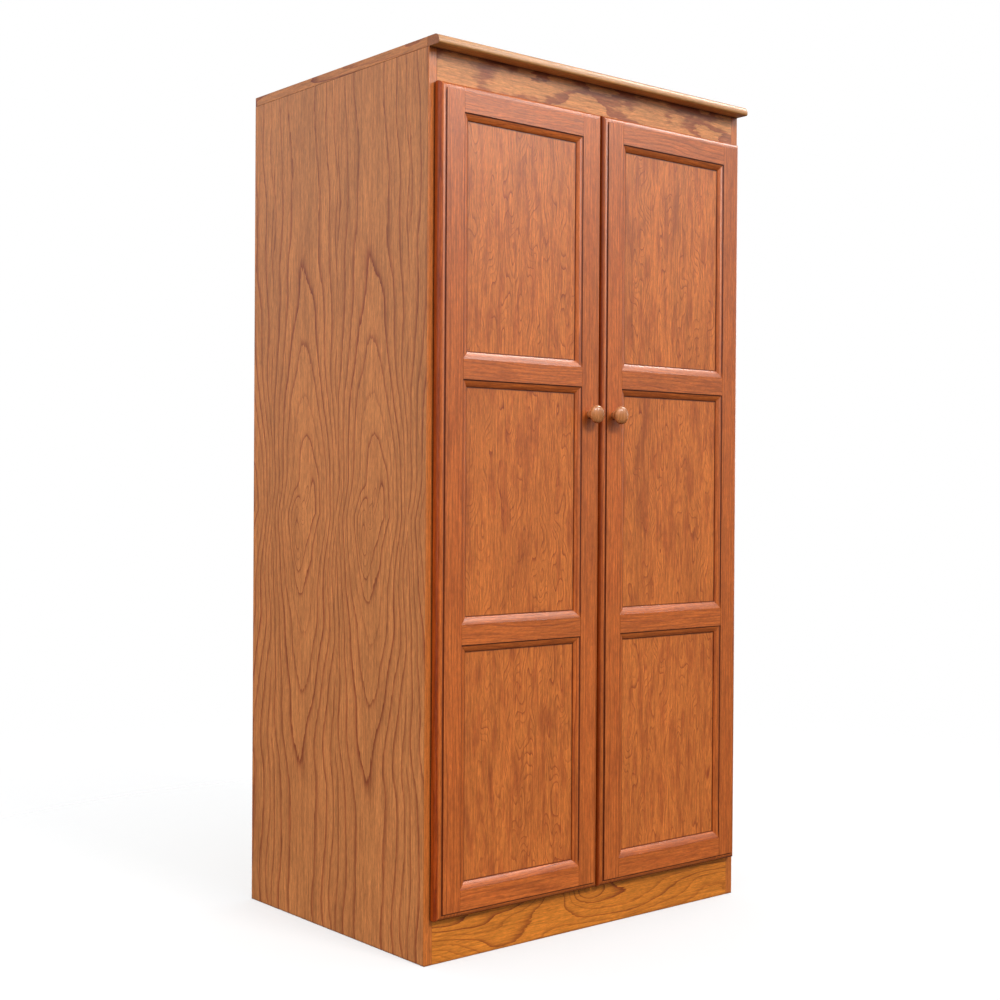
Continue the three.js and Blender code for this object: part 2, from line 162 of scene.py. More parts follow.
def flowing(seed, spacing, sway, cells, ruffle=0.9):
    """flowing_rings with its figure settled, waiting for a shader and its grain space."""
    return lambda g, vector: flowing_rings(g, vector, seed, spacing, sway, cells, ruffle)


def bump_at(g, vector, place, size, tilt=0.0):
    """1 at (across, along), falling to 0 over size, with its long way turned by tilt degrees."""
    x, _, z = g.split(vector)
    cos, sin = math.cos(math.radians(tilt)), math.sin(math.radians(tilt))
    dx = g.math("SUBTRACT", x, place[0])
    dz = g.math("SUBTRACT", z, place[1])
    across = g.math("MULTIPLY_ADD", dx, cos / size[0], g.math("MULTIPLY", dz, -sin / size[0]))
    along = g.math("MULTIPLY_ADD", dx, sin / size[1], g.math("MULTIPLY", dz, cos / size[1]))
    far = g.math("MULTIPLY_ADD", across, across, g.math("MULTIPLY", along, along))
    return g.math("EXPONENT", g.math("MULTIPLY", far, -1.0))


# ---- Sliced veneer ----

# Half the width of a leaf's rounded core, and the spacing of the straight rings beside it.
LEAF_CORE = 0.050
LEAF_SPACING = 0.0122
# Its arches: their reach to the side, how densely they lie, how they crowd at the eye, and the
# height at which they end softly.
ARCH_REACH = 0.118
ARCH_DENSITY = 4.3
ARCH_CROWDING = 4.9
ARCH_TOP = 0.60
ARCH_TOP_BLEND = 0.25
# Each leaf is cut a little deeper than the last, which also lifts its eye.
LEAF_DEPTH = 0.015
LEAF_LIFT = 0.004
# Three noises push the arches about: a slow sway, a wobble of the lines, and a swirl at the eye.
LEAF_SWAY = (3.0, 1.0, 3.6)
LEAF_WOBBLE = (12.0, 1.0, 2.6)
LEAF_SWIRL = (18.0, 1.0, 9.0)
SWAY_WIDTH = 0.09
WOBBLE_RINGS = 0.85
SWIRL_RINGS = 2.8
EYE_SIZE = (0.060, 0.170)
# Ring lines are thin at the crown of an arch and full where they stand this steep, and they are
# thinner again from UPPER_START to UPPER_END metres above the eye.
CROWN_LINE = 0.34
STEEP_LINE = 0.75
UPPER_LINE = 0.45
UPPER_START = 0.50
UPPER_END = 0.80
# Swellings round a leaf's eye: place and size in (across, along), tilt, and rings pushed aside.
EYE_KNOTS = [
    ((0.004, 0.0), (0.011, 0.026), 0, 3.6),
    ((-0.014, 0.040), (0.011, 0.034), -12, 1.6),
    ((0.026, -0.055), (0.017, 0.060), 6, -2.2),
]


def leaf_space(g, vector, leaf_width, leaf_start, eye_height):
    """Grain space measured from the middle and the eye of each leaf, and the place in the noise
    that belongs to the leaf."""
    x, y, z = g.split(vector)
    from_start = g.math("DIVIDE", g.math("SUBTRACT", x, leaf_start), leaf_width)
    leaf = g.math("FLOOR", from_start)
    centred = g.math("SUBTRACT", g.math("SUBTRACT", from_start, leaf), 0.5)
    local = g.math("MULTIPLY", centred, leaf_width)
    height = g.math("SUBTRACT", z, g.math("MULTIPLY_ADD", leaf, LEAF_LIFT, eye_height))
    return g.join(local, y, height), g.join(local, g.math("MULTIPLY", leaf, LEAF_DEPTH), z)


def arch_rings(g, across, height):
    """Nested arches round an eye, and how steeply their lines stand, from 0 to 1."""
    straight = g.math("SQRT", g.math("MULTIPLY_ADD", across, across, LEAF_CORE**2))
    sides = g.math("DIVIDE", g.math("SUBTRACT", straight, LEAF_CORE), LEAF_SPACING)
    risen = g.math("SMOOTH_MIN", g.math("ABSOLUTE", height), ARCH_TOP, ARCH_TOP_BLEND)
    climbed = g.math("LOGARITHM", g.math("MULTIPLY_ADD", risen, ARCH_CROWDING, 1.0), math.e)
    narrowed = g.math("DIVIDE", across, ARCH_REACH)
    central = g.math("EXPONENT", g.math("MULTIPLY", g.math("MULTIPLY", narrowed, narrowed), -1.0))
    rings = g.math("MULTIPLY_ADD", g.math("MULTIPLY", climbed, ARCH_DENSITY), central, sides)
    return rings, g.math("ABSOLUTE", g.math("DIVIDE", across, straight))


def cathedral_rings(g, vector, leaf_width, leaf_start, eye_height):
    """Growth rings of sliced veneer: equal leaves side by side, each with nested arches
    that close round an eye and run straight towards the leaf's edges."""
    in_leaf, own_noise = leaf_space(g, vector, leaf_width, leaf_start, eye_height)
    local, _, height = g.split(in_leaf)
    sway = g.noise(own_noise, LEAF_SWAY, 1.0, 0.4)
    sway = g.math("MULTIPLY_ADD", sway, SWAY_WIDTH, -SWAY_WIDTH / 2)
    rings, steep = arch_rings(g, g.math("ADD", local, sway), height)
    width = g.remap(steep, 0.0, STEEP_LINE, CROWN_LINE, FULL_LINE)
    thinner = g.remap(height, UPPER_START, UPPER_END, 1.0, UPPER_LINE, smooth=True)
    width = g.math("MULTIPLY", width, thinner)
    swirl = g.math("SUBTRACT", g.noise(own_noise, LEAF_SWIRL, 1.0, 0.5), 0.5)
    near_eye = bump_at(g, in_leaf, (0.0, 0.0), EYE_SIZE)
    rings = g.math("MULTIPLY_ADD", g.math("MULTIPLY", swirl, near_eye), SWIRL_RINGS, rings)
    for place, size, tilt, pushed in EYE_KNOTS:
        rings = g.math("MULTIPLY_ADD", bump_at(g, in_leaf, place, size, tilt), pushed, rings)
    wobble = g.noise(own_noise, LEAF_WOBBLE, 3.0, 0.5)
    return g.math("MULTIPLY_ADD", wobble, WOBBLE_RINGS, rings), width


# ---- Oak colour and lacquer ----

# Darkness through one growth ring: a dark line of open pores that fades before the next. Some
# rings are fainter, down to LEAST_RING, and pores thin out to LEAST_PORES between the lines.
LEAST_RING = 0.4
LEAST_PORES = 0.4
RING_SHADE = [(0.0, 0.35), (0.03, 1.0), (0.12, 0.72), (0.26, 0.28), (0.50, 0.08), (1.0, 0.0)]
RING_TEAR = 0.25
TEAR_SCALE = (230.0, 230.0, 18.0)
FIBRE_SCALE = (260.0, 260.0, 11.0)
SPECKLE_SCALE = (260.0, 260.0, 65.0)
TONE_SCALE = (14.0, 14.0, 1.8)
PORE_SCALE = (1000.0, 1000.0, 60.0)
FLAME_SCALE = (58.0, 58.0, 10.5)
PORE_DARKNESS = 0.46
PORE_STRENGTH = 0.45


def ring_darkness(g, vector, rings, width):
    """The dark line of each growth ring, of a strength of its own and torn along the fibres.
    width is the share of the usual width that the line takes."""
    torn = g.noise(vector, TEAR_SCALE, 3.0, 0.6)
    ring = g.math("MULTIPLY_ADD", torn, RING_TEAR, rings)
    phase = g.math("DIVIDE", g.math("FRACT", ring), width)
    number = g.math("FLOOR", ring)
    own = g.add("ShaderNodeTexWhiteNoise", {"W": number}, noise_dimensions="1D").outputs["Value"]
    strength = g.math("MULTIPLY_ADD", own, 1 - LEAST_RING, LEAST_RING)
    return g.math("MULTIPLY", g.ramp(phase, RING_SHADE), strength)


def oak_colour(g, vector, early, light, dark, figure, flames):
    """Colour, pore mask and fibre of stained oak. early is the darkness of its rings, and
    figure and flames are the strengths of the rings and of soft dark flames between them."""
    fibre = g.noise(vector, FIBRE_SCALE, 3.0, 0.7)
    speckle = g.noise(vector, SPECKLE_SCALE, 3.0, 0.75)
    tone = g.noise(vector, TONE_SCALE)
    pores = g.remap(g.noise(vector, PORE_SCALE, 2.0, 0.6), 0.54, 0.72, smooth=True)
    pores = g.math("MULTIPLY", pores, g.math("MULTIPLY_ADD", early, 1 - LEAST_PORES, LEAST_PORES))

    flame = g.remap(g.noise(vector, FLAME_SCALE, 3.0, 0.58), 0.42, 0.66, 0.0, 0.66, smooth=True)
    darkened = g.math("MAXIMUM", early, g.math("MULTIPLY", flame, flames))
    base = g.mix(g.math("MULTIPLY", darkened, figure), light, dark)
    shade = g.remap(fibre, 0.30, 0.70, 0.75, 1.25)
    shade = g.math("MULTIPLY", shade, g.remap(speckle, 0.25, 0.75, 0.76, 1.24))
    shade = g.math("MULTIPLY", shade, g.remap(tone, 0.25, 0.75, 0.88, 1.12))
    shaded = g.mix(1.0, base, g.join(shade, shade, shade), "MULTIPLY")
    pore_tint = (*(PORE_DARKNESS * v for v in dark[:3]), 1.0)
    return g.mix(g.math("MULTIPLY", pores, PORE_STRENGTH), shaded, pore_tint), pores, fibre


# How deep the rings lie and how high the fibres stand in the relief, and how far pores and
# fibres roughen the lacquer.
RING_DEPTH = 0.35
FIBRE_HEIGHT = 0.4
RELIEF = 0.3 * MM
PORE_ROUGHNESS = 0.18
FIBRE_ROUGHNESS = 0.06
MOULDING_ROUGHNESS = 0.55


def lacquer(g, colour, pores, early, fibre, roughness, moulded):
    """Satin lacquer over open-pored oak, fuller and glossier on moulded edges."""
    hollow = g.math("MULTIPLY_ADD", early, RING_DEPTH, pores)
    height = g.math("SUBTRACT", g.math("MULTIPLY", fibre, FIBRE_HEIGHT), hollow)
    bump = g.add("ShaderNodeBump", {"Strength": 0.4, "Distance": RELIEF, "Height": height})
    rough = g.math("MULTIPLY_ADD", pores, PORE_ROUGHNESS, roughness)
    rough = g.math("MULTIPLY_ADD", fibre, FIBRE_ROUGHNESS, rough)
    if moulded:
        front = g.math("ABSOLUTE", g.split(g.add("ShaderNodeTexCoord").outputs["Normal"])[1])
        share = g.remap(front, 0.55, 0.98, MOULDING_ROUGHNESS, 1.0, smooth=True)
        rough = g.math("MULTIPLY", rough, share)
    inputs = {
        "Base Color": colour,
        "Roughness": rough,
        "Normal": bump.outputs[0],
        "IOR": 1.50,
        "Coat Weight": 0.08,
        "Coat Roughness": 0.22,
    }
    shader = g.add("ShaderNodeBsdfPrincipled", inputs)
    g.add("ShaderNodeOutputMaterial", {"Surface": shader.outputs[0]})


# ---- Painted shade in joints and mouldings ----

# The colour of painted shade in hollow corners, in the steps of mouldings and along a panel's frame.
PAINTED_SHADE = srgb(82, 30, 14)
# How much darker faces grow that drink more stain, as end grain does; on routed edges this is also painted
# shade.
STAIN_AND_SHADE_TINT = (0.56, 0.36, 0.20, 1.0)
# Widths of the moulding round a door's windows and of its rounded outer edge, and how far from
# the step between the moulding and the flat the line of painted shade lies.
MOULDING = 14 * MM
OUTER_EDGE = 13.5 * MM
STEP_INSET = 1.2 * MM
# A line of painted shade is solid up to the first distance from its middle and gone at the
# second. The last value is its strength.
FRAME_LINE = (0.8 * MM, 3.8 * MM, 0.8)
WINDOW_LINE = (0.6 * MM, 2.0 * MM, 0.9)
OUTLINE_LINE = (0.6 * MM, 2.2 * MM, 0.85)
# How far a point looks round for other faces, and how open it has to be to stay clear of painted shade.
ROUTED_CORNER = (10 * MM, 0.84)
PLAIN_CORNER = (6 * MM, 0.92)
CORNER_OPENNESS = 0.45
CORNER_STRENGTH = 0.85
# Cosines between a face's normal and an axis: askew up to the first, and square from the second.
ASKEW = 0.60
SQUARE = 0.95


def shade_in_corners(g, colour, routed):
    """Painted shade in hollow corners, where ambient occlusion finds faces close by. On a routed board only
    its own moulding counts.
    """
    reach, clear = ROUTED_CORNER if routed else PLAIN_CORNER
    inputs = {"Distance": reach}
    near = g.add("ShaderNodeAmbientOcclusion", inputs, samples=6, only_local=routed).outputs["AO"]
    factor = g.remap(near, CORNER_OPENNESS, clear, 1.0, 0.0)
    return g.mix(g.math("MULTIPLY", factor, CORNER_STRENGTH), colour, PAINTED_SHADE)


def painted_shade_line(g, distance, line):
    """The strength of a line of painted shade at this distance from its middle."""
    solid, gone, strength = line
    return g.remap(distance, solid, gone, strength, 0.0, smooth=True)


def outside(g, place, rectangle):
    """How far in front view a point lies outside a rectangle, and less than 0 inside it."""
    x, _, z = place
    low_x, high_x, low_z, high_z = rectangle
    beside = g.math("ABSOLUTE", g.math("SUBTRACT", x, (low_x + high_x) / 2))
    over = g.math("ABSOLUTE", g.math("SUBTRACT", z, (low_z + high_z) / 2))
    beside = g.math("SUBTRACT", beside, (high_x - low_x) / 2)
    over = g.math("SUBTRACT", over, (high_z - low_z) / 2)
    return g.math("MAXIMUM", beside, over)


def shade_along_frame(g, colour, window):
    """A thin line of painted shade on a panel where it meets the frame. window is its open rectangle."""
    x, _, z = g.split(g.add("ShaderNodeTexCoord").outputs["Object"])
    low_x, high_x, low_z, high_z = window
    inside = g.math("MINIMUM", g.math("SUBTRACT", x, low_x), g.math("SUBTRACT", high_x, x))
    above = g.math("MINIMUM", g.math("SUBTRACT", z, low_z), g.math("SUBTRACT", high_z, z))
    line = painted_shade_line(g, g.math("MINIMUM", inside, above), FRAME_LINE)
    return g.mix(line, colour, PAINTED_SHADE)


def shade_in_steps(g, colour, windows, outline):
    """A line of painted shade in the step where a moulding starts, round each window of a door and
    inside its outline. Lines fade out below a window and along the top of the door, where the
    moulding faces up into the light. The back of the door has no moulding, and so no lines."""
    place = g.split(g.add("ShaderNodeTexCoord").outputs["Object"])
    z = place[2]
    lines = 0.0
    for window in windows:
        away = g.math("SUBTRACT", outside(g, place, window), MOULDING - STEP_INSET)
        line = painted_shade_line(g, g.math("ABSOLUTE", away), WINDOW_LINE)
        # Painted shade is left out below a window, where the moulding faces up into the light.
        turned_from_light = g.remap(z, window[2] - MOULDING, window[2], 0.0, 1.0)
        lines = g.math("MAXIMUM", lines, g.math("MULTIPLY", line, turned_from_light))
    away = g.math("ADD", outside(g, place, outline), OUTER_EDGE - STEP_INSET)
    line = painted_shade_line(g, g.math("ABSOLUTE", away), OUTLINE_LINE)
    turned_from_light = g.remap(z, outline[3] - 1.5 * OUTER_EDGE, outline[3] - 1.2 * OUTER_EDGE, 1.0, 0.0)
    lines = g.math("MAXIMUM", lines, g.math("MULTIPLY", line, turned_from_light))
    forwards = g.math("LESS_THAN", g.split(g.add("ShaderNodeTexCoord").outputs["Normal"])[1], 0.2)
    return g.mix(g.math("MULTIPLY", lines, forwards), colour, PAINTED_SHADE)


def stain_and_shade_faces(g, colour, axis, squarely):
    """Darkens faces that drink more stain: those that meet the axis squarely, as end grain does,
    or else those that don't, as routed edges, where it is also painted shade on faces turned from
    the light. Faces that turn up are kept pale, a painted highlight from the light above."""
    normal = g.split(g.add("ShaderNodeTexCoord").outputs["Normal"])
    square = g.math("ABSOLUTE", normal[axis])
    ends = (0.0, 1.0) if squarely else (1.0, 0.0)
    share = g.remap(square, ASKEW, SQUARE, *ends, smooth=True)
    share = g.math("MULTIPLY", share, g.remap(normal[2], 0.15, 0.55, 1.0, 0.1))
    stained_and_shaded = g.mix(1.0, colour, STAIN_AND_SHADE_TINT, "MULTIPLY")
    return g.mix(share, colour, stained_and_shaded)


# ---- Oak on the boards ----

# Light wood, dark wood, and the strengths of the rings and of the soft flames.
DOOR = (srgb(208, 108, 43), srgb(142, 52, 16), 0.80, 0.6)
DOOR_PANEL = (srgb(219, 122, 52), srgb(140, 44, 20), 0.82, 0.85)
SIDE = (srgb(200, 125, 70), srgb(130, 50, 22), 1.0, 0.25)
EDGING = (srgb(212, 118, 50), srgb(150, 66, 24), 0.55, 0.4)
NOSING = (srgb(208, 142, 76), srgb(156, 88, 40), 0.55, 0.3)
HEADER = (srgb(226, 150, 86), srgb(134, 40, 14), 0.30, 0.5)
BASE = (srgb(232, 136, 44), srgb(140, 52, 12), 1.0, 0.2)
INSIDE = (srgb(214, 156, 104), srgb(166, 104, 62), 0.5, 0.5)
KNOB = (srgb(200, 126, 72), srgb(150, 74, 34), 0.5, 0.3)

SATIN = 0.36
HEADER_ROUGHNESS = 0.52
INSIDE_ROUGHNESS = 0.5
KNOB_ROUGHNESS = 0.24

# Ring spacing in metres, how many rings the figure sways, the (across, along) cells of its sway,
# and for the door panels the ripple.
STILE_FIGURE = (0.0075, 1.2, (0.05, 0.60))
RAIL_FIGURE = (0.0075, 2.6, (0.06, 0.30))
PANEL_FIGURE = (0.0070, 7.5, (0.044, 0.17), 0.40)
EDGING_FIGURE = (0.0048, 1.2, (0.05, 0.6))
TOP_FIGURE = (0.012, 3.0, (0.08, 0.5))
NOSING_FIGURE = (0.006, 1.2, (0.04, 0.5))
HEADER_FIGURE = (0.016, 2.0, (0.07, 0.30))
PATCH_FIGURE = (0.095, 1.3, (0.075, 0.17))
BASE_FIGURE = (0.016, 5.0, (0.11, 0.30))
INSIDE_FIGURE = (0.011, 3.0, (0.07, 0.5))
KNOB_FIGURE = (0.004, 1.0, (0.03, 0.2))
# Width of a side panel's leaves of veneer, where one starts, and the height of their eyes.
SIDE_LEAVES = (0.255, 0.018, 0.886)
# Place and size of the base rail's knot, and the rings that it pushes aside.
BASE_KNOT = ((0.080, -0.01), (0.030, 0.060), 4.0)

# The doors' boards count on from DOOR_SEED, and those inside from INSIDE_SEED.
DOOR_SEED = 1
SIDE_SEED = 40
EDGING_SEED = 42
TOP_SEED = 44
NOSING_SEED = 45
HEADER_SEED = 46
BASE_SEED = 47
BASE_RING_SEED = 52
PATCH_SEED = 56
INSIDE_SEED = 60
KNOB_SEED = 80

# Darkness through one mineral band of the header, and how strong and how torn it is.
PATCH_BAND = [(0.12, 0.0), (0.20, 1.0), (0.40, 0.85), (0.50, 0.35), (0.56, 0.0)]
PATCH_STRENGTH = 0.74
PATCH_SCALE = (210.0, 210.0, 30.0)
PATCH_TEAR = 0.50

STILES = ("hinge_stile", "meeting_stile")
RAILS = ("top_rail", "upper_rail", "lower_rail", "bottom_rail")
RAILS_AROUND = {
    "upper": ("upper_rail", "top_rail"),
    "middle": ("lower_rail", "upper_rail"),
    "lower": ("bottom_rail", "lower_rail"),
}


def oak(
    name,
    direction,
    seed,
    look,
    rings,
    roughness=SATIN,
    routed=False,
    moulded=False,
    banded=False,
    patches=None,
    window=None,
    frame_lines=None,
):
    """A complete oak material. rings turns the shader and grain space into a ring count and the
    width of its lines. A banded board's ends carry a strip with grain from front to back."""
    light, dark, figure, flames = look
    material, g = new_material(name)
    vector = grain_space(g, direction)
    if banded:
        side = g.math("ABSOLUTE", g.split(g.add("ShaderNodeTexCoord").outputs["Normal"])[0])
        turned = grain_space(g, "deep")
        vector = g.mix(g.math("GREATER_THAN", side, 0.7), vector, turned)
    moved = moved_by_seed(g, vector, seed, COLOUR_SEED_STEP)
    if patches:
        light = g.mix(patches(g, vector), light, dark)
    early = ring_darkness(g, moved, *rings(g, vector))
    colour, pores, fibre = oak_colour(g, moved, early, light, dark, figure, flames)
    if not banded:
        colour = stain_and_shade_faces(g, colour, GRAIN_AXES[direction][2], squarely=True)
    # Routed edges: stain, with painted shade on faces turned from the light.
    if routed:
        colour = stain_and_shade_faces(g, colour, 1, squarely=False)
    # Painted shade: lines in the steps of the mouldings, a line along a panel's frame, and darkening in
    # hollow corners.
    if frame_lines:
        colour = shade_in_steps(g, colour, *frame_lines)
    if window:
        colour = shade_along_frame(g, colour, window)
    else:
        colour = shade_in_corners(g, colour, routed)
    lacquer(g, colour, pores, early, fibre, roughness, routed or moulded)
    return material


def assign(node, material):
    nodes[node].material_slots[0].material = material


def panel_window(side, panel):
    """Lowest and highest x and z of the part of a door panel that its frame leaves open."""
    stiles = [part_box(f"{side}_door_{name}") for name in STILES]
    stiles.sort(key=lambda box: box[0][0])
    below, over = (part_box(f"{side}_door_{name}") for name in RAILS_AROUND[panel])
    return stiles[0][1][0], stiles[1][0][0], below[1][2], over[0][2]


def door_outline(side):
    """Lowest and highest x and z of a door."""
    stiles = [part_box(f"{side}_door_{name}") for name in STILES]
    low_x, high_x = min(box[0][0] for box in stiles), max(box[1][0] for box in stiles)
    return low_x, high_x, stiles[0][0][2], stiles[0][1][2]


def oak_doors():
    members = [(name, "up", STILE_FIGURE) for name in STILES]
    members += [(name, "across", RAIL_FIGURE) for name in RAILS]
    seed = DOOR_SEED
    for side in SIDES:
        lines = [panel_window(side, panel) for panel in RAILS_AROUND], door_outline(side)
        for name, direction, figure in members:
            title = f"oak_{side}_{name}"
            rings = flowing(seed, *figure)
            material = oak(title, direction, seed, DOOR, rings, routed=True, frame_lines=lines)
            assign(f"{side}_door_{name}", material)
            seed += 1
        for name in RAILS_AROUND:
            rings = flowing(seed, *PANEL_FIGURE)
            window = panel_window(side, name)
            material = oak(f"oak_{side}_{name}_panel", "up", seed, DOOR_PANEL, rings, window=window)
            assign(f"{side}_door_{name}_panel", material)
            seed += 1


def header_patches(g, vector):
    """Dark mineral bands that wander over the board, with edges torn along the grain."""
    rings, _ = flowing_rings(g, vector, PATCH_SEED, *PATCH_FIGURE)
    torn = g.noise(vector, PATCH_SCALE, 3.0, 0.65)
    phase = g.math("FRACT", g.math("MULTIPLY_ADD", torn, PATCH_TEAR, rings))
    return g.math("MULTIPLY", g.ramp(phase, PATCH_BAND), PATCH_STRENGTH)


def side_leaves(g, vector):
    """The leaves of veneer on the side panels."""
    return cathedral_rings(g, vector, *SIDE_LEAVES)


def base_rings(g, vector):
    """Rings that bend round one knot in the base rail."""
    rings, width = flowing_rings(g, vector, BASE_RING_SEED, *BASE_FIGURE)
    place, size, pushed = BASE_KNOT
    return g.math("MULTIPLY_ADD", bump_at(g, vector, place, size), pushed, rings), width


def oak_carcass():
    for side in SIDES:
        panel = oak(f"oak_side_{side}", "up_side", SIDE_SEED, SIDE, side_leaves)
        assign(f"side_panel_{side}", panel)
        rings = flowing(EDGING_SEED, *EDGING_FIGURE)
        assign(f"side_edging_{side}", oak(f"oak_edging_{side}", "up", EDGING_SEED, EDGING, rings))
    rings = flowing(TOP_SEED, *TOP_FIGURE)
    assign("top_panel", oak("oak_top", "across", TOP_SEED, SIDE, rings, banded=True))
    rings = flowing(NOSING_SEED, *NOSING_FIGURE)
    assign("top_nosing", oak("oak_nosing", "across", NOSING_SEED, NOSING, rings, moulded=True))
    assign("base_rail", oak("oak_base", "across", BASE_SEED, BASE, base_rings))
    rings = flowing(HEADER_SEED, *HEADER_FIGURE)
    header = oak(
        "oak_header",
        "across",
        HEADER_SEED,
        HEADER,
        rings,
        roughness=HEADER_ROUGHNESS,
        patches=header_patches,
    )
    assign("header_rail", header)


def oak_inside():
    directions = {
        "floor_panel": "across",
        "rear_base_rail": "across",
        "rear_top_rail": "across",
        "back_panel": "up",
        "hat_shelf": "across",
        "shelf_cleat_left": "deep",
        "shelf_cleat_right": "deep",
        "shelf_cleat_rear": "across",
        "hanging_rod": "across",
    }
    for index, (name, direction) in enumerate(directions.items()):
        rings = flowing(index, *INSIDE_FIGURE)
        seed = INSIDE_SEED + index
        assign(name, oak(f"oak_{name}", direction, seed, INSIDE, rings, INSIDE_ROUGHNESS))


def turned_knobs():
    for side in SIDES:
        rings = flowing(KNOB_SEED, *KNOB_FIGURE)
        knob = oak(f"oak_{side}_knob", "up", KNOB_SEED, KNOB, rings, KNOB_ROUGHNESS)
        assign(f"{side}_knob", knob)


# ---- Metal and rubber ----

CLOUD_SCALE = (60.0, 60.0, 60.0)
DRAWN_SCALE = (900.0, 900.0, 120.0)
SCUFF_SCALE = (260.0, 260.0, 260.0)
DUST_SCALE = (700.0, 700.0, 700.0)
NICKEL = (0.62, 0.60, 0.56, 1.0)
ZINC = (0.56, 0.57, 0.58, 1.0)
RUBBER = (0.62, 0.60, 0.56, 1.0)


def metal(name, colour, roughness):
    """Plated pressed steel: faint drawing lines, cloudy roughness and small scuffs."""
    material, g = new_material(name)
    place = g.add("ShaderNodeTexCoord").outputs["Object"]
    cloud = g.noise(place, CLOUD_SCALE, 3.0, 0.6)
    drawn = g.noise(place, DRAWN_SCALE, 2.0, 0.6)
    scuff = g.remap(g.noise(place, SCUFF_SCALE, 4.0, 0.75), 0.60, 0.70, smooth=True)
    tone = g.remap(cloud, 0.3, 0.7, 0.90, 1.06)
    tone = g.math("MULTIPLY", tone, g.remap(scuff, 0.0, 1.0, 1.0, 0.86))
    rough = g.remap(cloud, 0.3, 0.7, roughness - 0.05, roughness + 0.08)
    rough = g.math("MULTIPLY_ADD", scuff, 0.15, rough)
    height = g.math("MULTIPLY_ADD", drawn, 0.4, g.math("MULTIPLY", scuff, -0.6))
    bump = g.add("ShaderNodeBump", {"Strength": 0.25, "Distance": 0.1 * MM, "Height": height})
    inputs = {
        "Base Color": g.mix(1.0, colour, g.join(tone, tone, tone), "MULTIPLY"),
        "Metallic": 1.0,
        "Roughness": rough,
        "Normal": bump.outputs[0],
    }
    shader = g.add("ShaderNodeBsdfPrincipled", inputs)
    g.add("ShaderNodeOutputMaterial", {"Surface": shader.outputs[0]})
    return material


def soft_rubber(name, colour):
    """Slightly translucent polyurethane, dulled by dust."""
    material, g = new_material(name)
    place = g.add("ShaderNodeTexCoord").outputs["Object"]
    dust = g.noise(place, DUST_SCALE, 3.0, 0.6)
    tone = g.remap(dust, 0.3, 0.7, 0.9, 1.08)
    bump = g.add("ShaderNodeBump", {"Strength": 0.2, "Distance": 0.1 * MM, "Height": dust})
    inputs = {
        "Base Color": g.mix(1.0, colour, g.join(tone, tone, tone), "MULTIPLY"),
        "Roughness": g.remap(dust, 0.3, 0.7, 0.45, 0.65),
        "Subsurface Weight": 0.15,
        "Subsurface Scale": 2 * MM,
        "Normal": bump.outputs[0],
    }
    shader = g.add("ShaderNodeBsdfPrincipled", inputs)
    g.add("ShaderNodeOutputMaterial", {"Surface": shader.outputs[0]})
    return material


def hardware():
    nickel = metal("nickel_plate", NICKEL, 0.26)
    zinc = metal("zinc_plate", ZINC, 0.38)
    rubber = soft_rubber("bumper_rubber", RUBBER)
    for side in SIDES:
        assign(f"rod_socket_{side}", nickel)
        assign(f"{side}_knob_screw", zinc)
        for place in PLACES:
            assign(f"{side}_hinge_cup_{place}", nickel)
            assign(f"{side}_hinge_arm_{place}", nickel)
        for place in ("top", "bottom"):
            assign(f"{side}_bumper_{place}", rubber)


# ---- Edges ----

SHARP_ANGLE = 32.0
WELD_DISTANCE = 0.01 * MM
FRAME_EASE = 0.35 * MM
NOSING_EASE = 1.2 * MM
BOARD_EASE = 0.8 * MM


def smooth_by_angle():
    """A node group that joins the CAD facets and shades them smooth, except across sharp edges."""
    tree = bpy.data.node_groups.new("smooth_by_angle", "GeometryNodeTree")
    for way in ("INPUT", "OUTPUT"):
        tree.interface.new_socket("Geometry", in_out=way, socket_type="NodeSocketGeometry")
    g = Shader(tree)
    given = g.add("NodeGroupInput").outputs[0]
    plain = g.add("GeometryNodeRemoveAttribute", {"Geometry": given, "Name": "custom_normal"}).outputs[0]
    joined = g.add("GeometryNodeMergeByDistance", {"Geometry": plain, "Distance": WELD_DISTANCE}).outputs[0]
    smooth = g.add("GeometryNodeSetShadeSmooth", {"Geometry": joined}, domain="FACE").outputs[0]
    angle = g.add("GeometryNodeInputMeshEdgeAngle").outputs["Unsigned Angle"]
    sharp = g.add("FunctionNodeCompare", {0: angle, 1: math.radians(SHARP_ANGLE)}, operation="GREATER_THAN")
    inputs = {"Geometry": smooth, "Selection": sharp.outputs[0], "Shade Smooth": False}
    edged = g.add("GeometryNodeSetShadeSmooth", inputs, domain="EDGE").outputs[0]
    g.add("NodeGroupOutput", {0: edged})
    return tree


def ease_of(name):
    """How far an edge of this piece is worn round. Door frames already have routed edges."""
    if name == "top_nosing":
        return NOSING_EASE
    if "_door_" in name and "panel" not in name:
        return FRAME_EASE
    return BOARD_EASE


def ease_edges():
    """Every edge is eased a little, as sanding leaves it, and curves shade smooth."""
    group = smooth_by_angle()
    for name, node in nodes.items():
        joined = node.modifiers.new("joined", "NODES")
        joined.node_group = group
        bevel = node.modifiers.new("eased", "BEVEL")
        bevel.width = ease_of(name)
        bevel.segments = 2
        bevel.limit_method = "ANGLE"
        bevel.angle_limit = math.radians(SHARP_ANGLE)
        bevel.harden_normals = False
        shaded = node.modifiers.new("shaded", "NODES")
        shaded.node_group = group


# ---- Camera ----

# The photograph's own view, in metres and degrees, with the lens in millimetres.
CAMERA_PLACE = Vector((-2.298862, -2.729274, 0.945514))
CAMERA_YAW = 39.949
CAMERA_PITCH = -0.473
CAMERA_ROLL = 0.363
CAMERA_LENS = 55.93


